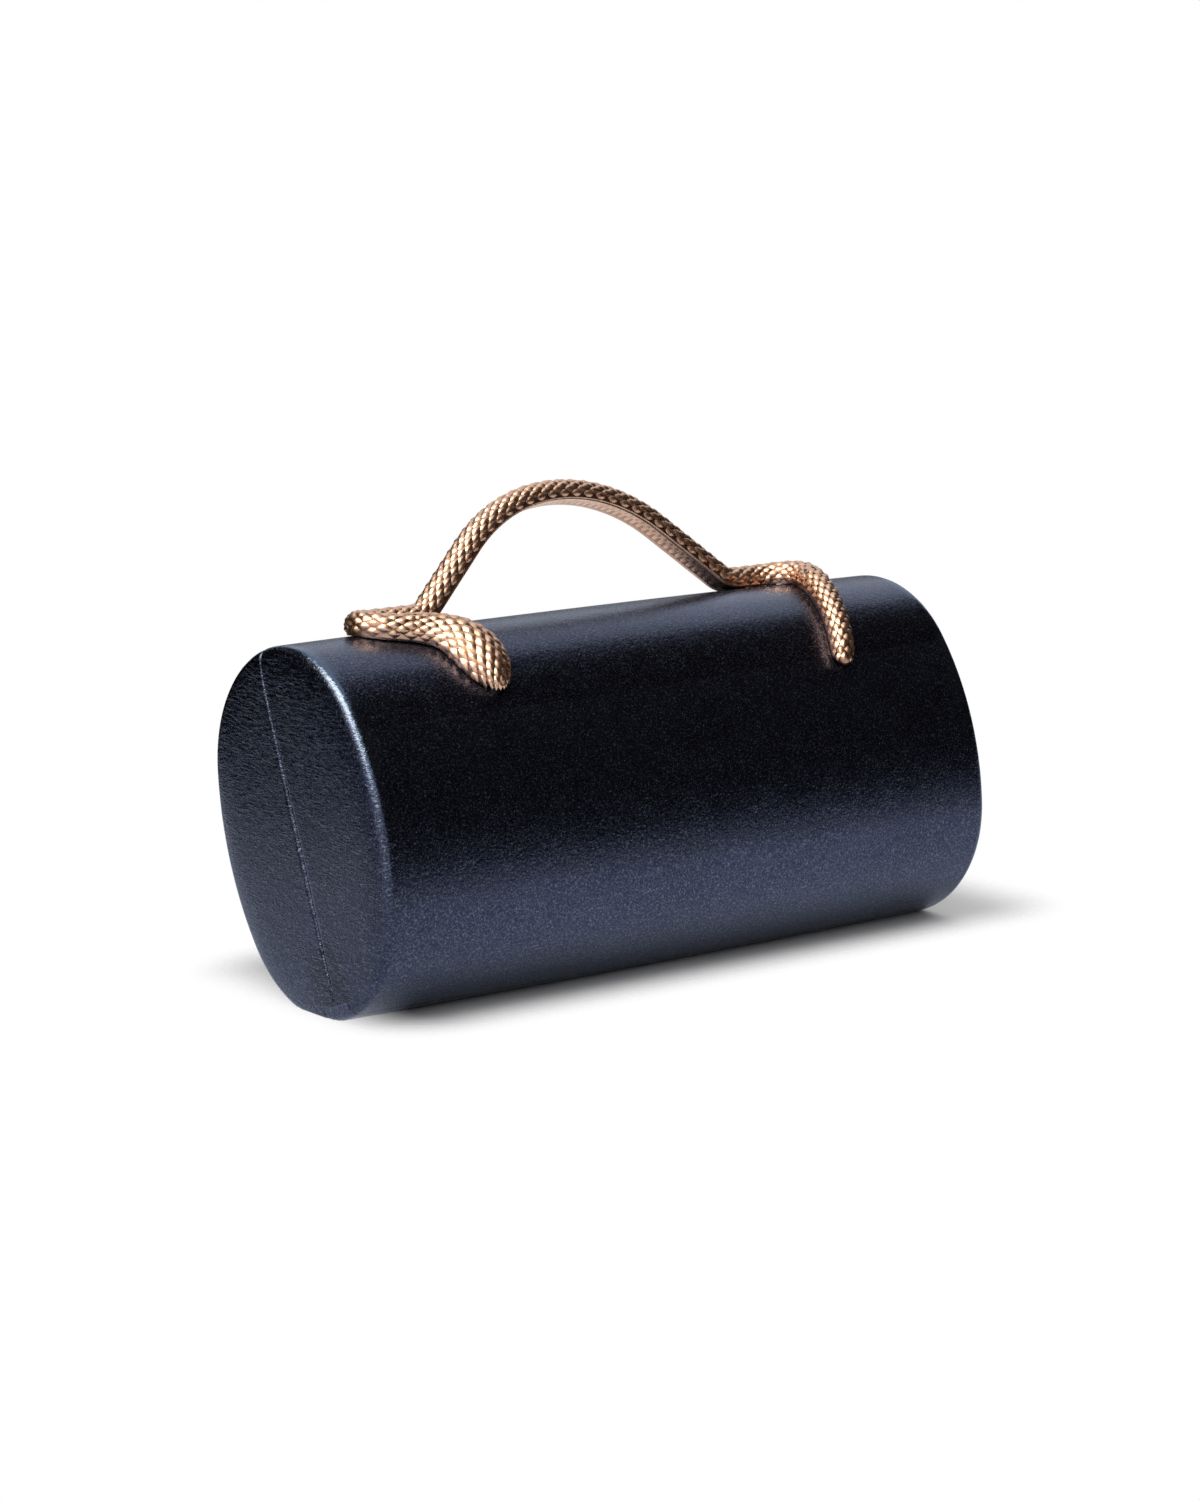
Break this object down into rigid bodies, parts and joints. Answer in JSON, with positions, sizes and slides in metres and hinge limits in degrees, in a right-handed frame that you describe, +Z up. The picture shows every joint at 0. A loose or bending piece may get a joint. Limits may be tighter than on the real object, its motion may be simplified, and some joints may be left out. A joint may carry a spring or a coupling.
{
  "type": "barrel bag",
  "caption": "Hard-shell barrel clutch in metallic leather that opens along a hinge at its bottom, with padded lining, magnetic closure and a cast snake-shaped top handle.",
  "frame": {"origin": "middle of the closed bag's box, at the surface it stands on", "axes": "+X along the barrel towards the snake's tail, +Y towards the back half, +Z up"},
  "size_m": [0.207, 0.0822, 0.1292],
  "materials": {
    "leather": "pebbled, metallic navy",
    "shell": "moulded",
    "lining": "suede cloth on padding",
    "hinge": "brushed",
    "rivet": "satin",
    "magnet": "plated",
    "handle": "rose gold, darkened between the scales",
    "fixing": "plain"
  },
  "bodies": {
    "back": {"back_leather": "leather", "back_left_end_panel": "leather", "back_right_end_panel": "leather", "back_core": "shell", "back_lining": "lining", "back_hinge_leaf": "hinge", "back_hinge_rivets": "rivet", "back_magnets": "magnet", "hinge_pin": "hinge", "spine_strip": "leather"},
    "front": {"front_leather": "leather", "front_left_end_panel": "leather", "front_right_end_panel": "leather", "front_core": "shell", "front_lining": "lining", "front_hinge_leaf": "hinge", "front_hinge_rivets": "rivet", "front_magnets": "magnet", "snake_handle": "handle", "handle_plate_left": "fixing", "handle_plate_right": "fixing", "handle_screws": "fixing"}
  },
  "joints": [
    {"name": "lid_hinge", "type": "hinge", "parent": "back", "child": "front", "pos_m": [0, -0.01696, 0.00353], "axis": [1, 0, 0], "range_deg": [0, 60], "deforming": ["spine_strip"]}
  ]
}
